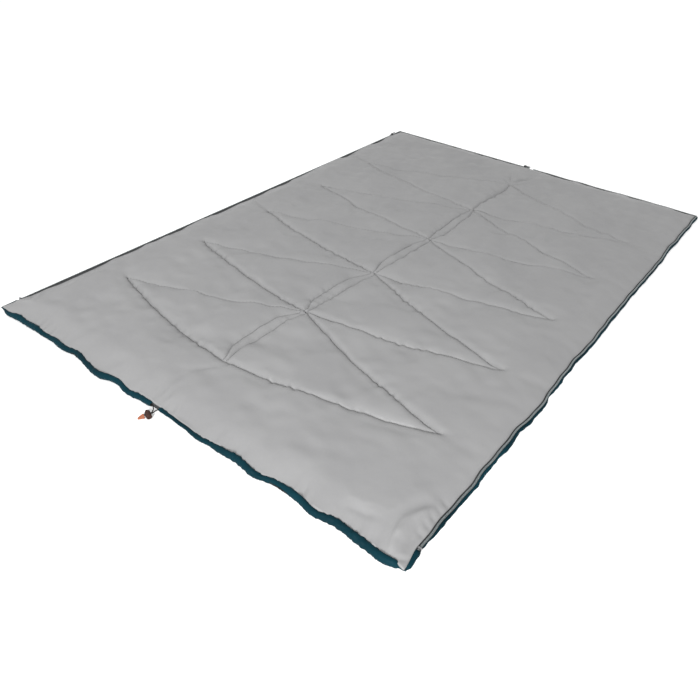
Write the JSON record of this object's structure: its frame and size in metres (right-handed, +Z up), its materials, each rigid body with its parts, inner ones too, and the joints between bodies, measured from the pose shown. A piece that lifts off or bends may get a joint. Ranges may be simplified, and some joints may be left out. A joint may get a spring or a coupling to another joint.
{
  "type": "rectangular sleeping bag",
  "caption": "Rectangular zip-round sleeping bag opened flat like a quilt: quilted lining up, shell down, drawcord with a cord lock at the head edge, folds shut along its length.",
  "frame": {"origin": "centre of the opened bag's underside, on the surface that it lies on", "axes": "+X across the opened bag to the half that folds over, +Y from the head edge to the foot edge, +Z up from the shell to the lining"},
  "size_m": [1.5, 2.245, 0.03],
  "materials": {
    "lining_cloth": "satin",
    "shell_cloth": "matte",
    "wadding": "matte",
    "zip_cloth": "matte",
    "zip_coil": "satin",
    "cord_cloth": "matte",
    "lock_plastic": "satin",
    "end_plastic": "satin",
    "zip_metal": "satin",
    "spring_steel": "satin"
  },
  "bodies": {
    "left_half": {"shell_left": "shell_cloth", "insulation_left": "wadding", "lining_left": "lining_cloth", "head_hem_left": "shell_cloth", "head_hem_centre": "shell_cloth", "drawcord_left": "cord_cloth", "drawcord_strand_left": "cord_cloth", "drawcord_strand_right": "cord_cloth", "cord_end": "end_plastic", "zip_tape_side_left": "zip_cloth", "zip_tape_foot_left": "zip_cloth", "zip_coil_side_left": "zip_coil", "zip_coil_foot_left": "zip_coil", "zip_top_stop_left": "zip_metal", "zip_box": "lock_plastic"},
    "right_half": {"shell_right": "shell_cloth", "insulation_right": "wadding", "lining_right": "lining_cloth", "head_hem_right": "shell_cloth", "drawcord_right": "cord_cloth", "zip_tape_side_right": "zip_cloth", "zip_tape_foot_right": "zip_cloth", "zip_coil_side_right": "zip_coil", "zip_coil_foot_right": "zip_coil", "zip_top_stop_right": "zip_metal", "zip_pin": "lock_plastic"},
    "cord_lock": {"cord_lock_body": "lock_plastic", "cord_lock_spring": "spring_steel"},
    "cord_lock_plunger": {"cord_lock_button": "lock_plastic"},
    "foot_slider": {"zip_slider_foot": "zip_metal"},
    "foot_pull": {"zip_pull_foot": "zip_metal"},
    "side_slider": {"zip_slider_side": "zip_metal"},
    "side_pull": {"zip_pull_side": "zip_metal"}
  },
  "joints": [
    {"name": "main_fold", "type": "hinge", "parent": "left_half", "child": "right_half", "pos_m": [0, 0, 0.034], "axis": [0, -1, 0], "range_deg": [0, 180]},
    {"name": "cord_lock_slide", "type": "slide", "parent": "left_half", "child": "cord_lock", "axis": [0.4131, 0.9107, 0], "range_m": [0, 0.014], "deforming": ["drawcord_strand_left", "drawcord_strand_right"]},
    {"name": "cord_lock_press", "type": "slide", "parent": "cord_lock", "child": "cord_lock_plunger", "axis": [0.9107, -0.4131, 0], "range_m": [0, 0.004], "stiffness_N_per_m": 300, "springref_m": -0.002, "deforming": ["cord_lock_spring"]},
    {"name": "foot_slider_travel", "type": "slide", "parent": "left_half", "child": "foot_slider", "axis": [-1, 0, 0], "range_m": [0, 0.66]},
    {"name": "foot_pull_swing", "type": "hinge", "parent": "foot_slider", "child": "foot_pull", "pos_m": [-0.0355, 1.0949, 0.0185], "axis": [0, -1, 0], "range_deg": [0, 180]},
    {"name": "side_slider_travel", "type": "slide", "parent": "left_half", "child": "side_slider", "axis": [0, -1, 0], "range_m": [0, 2.03]},
    {"name": "side_pull_swing", "type": "hinge", "parent": "side_slider", "child": "side_pull", "pos_m": [-0.7449, 1.02, 0.0185], "axis": [1, 0, 0], "range_deg": [0, 180]}
  ]
}
